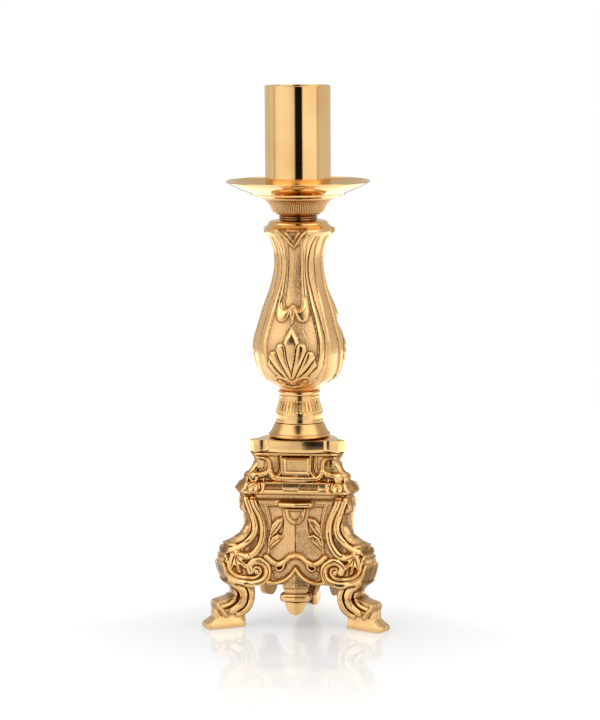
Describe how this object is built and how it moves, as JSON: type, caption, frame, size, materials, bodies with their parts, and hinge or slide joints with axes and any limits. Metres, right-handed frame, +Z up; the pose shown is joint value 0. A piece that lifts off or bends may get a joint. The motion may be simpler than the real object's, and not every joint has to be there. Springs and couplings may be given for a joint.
{
  "type": "altar candlestick",
  "caption": "Cast brass altar candlestick: three-sided scrolled tripod base, ornamented baluster, fluted cup, wide drip pan and an open tube for a thick candle.",
  "frame": {"origin": "middle of the bounding box at floor level; the pole axis stands 10.2 mm in front of it, at y = -0.0102", "axes": "+Z up along the pole, -Y out of the front face of the three-sided base, +Y along the back leg"},
  "size_m": [0.123, 0.1141, 0.35],
  "materials": {
    "polished_brass": "polished",
    "satin_brass": "satin cast",
    "steel_fixings": "zinc plated"
  },
  "bodies": {
    "stand": {"collar_disc": "polished_brass", "flared_collar": "polished_brass", "top_plate": "polished_brass", "candle_pricket": "satin_brass", "fluted_cup": "satin_brass", "neck_ring": "satin_brass", "baluster": "satin_brass", "fluted_collar": "satin_brass", "base_face_1": "satin_brass", "base_face_2": "satin_brass", "base_face_3": "satin_brass", "tie_rod": "steel_fixings", "cup_washer": "steel_fixings", "cup_nut": "steel_fixings", "lower_washer": "steel_fixings", "lock_washer": "steel_fixings", "lower_nut": "steel_fixings"},
    "pan": {"drip_pan": "polished_brass"},
    "tube": {"candle_tube": "polished_brass", "tube_floor_disc": "satin_brass"}
  },
  "joints": [
    {"name": "pan_lift", "type": "slide", "parent": "stand", "child": "pan", "axis": [0, 0, 1], "range_m": [0, 0.045]},
    {"name": "tube_lift", "type": "slide", "parent": "pan", "child": "tube", "axis": [0, 0, 1], "range_m": [0, 0.045]}
  ]
}
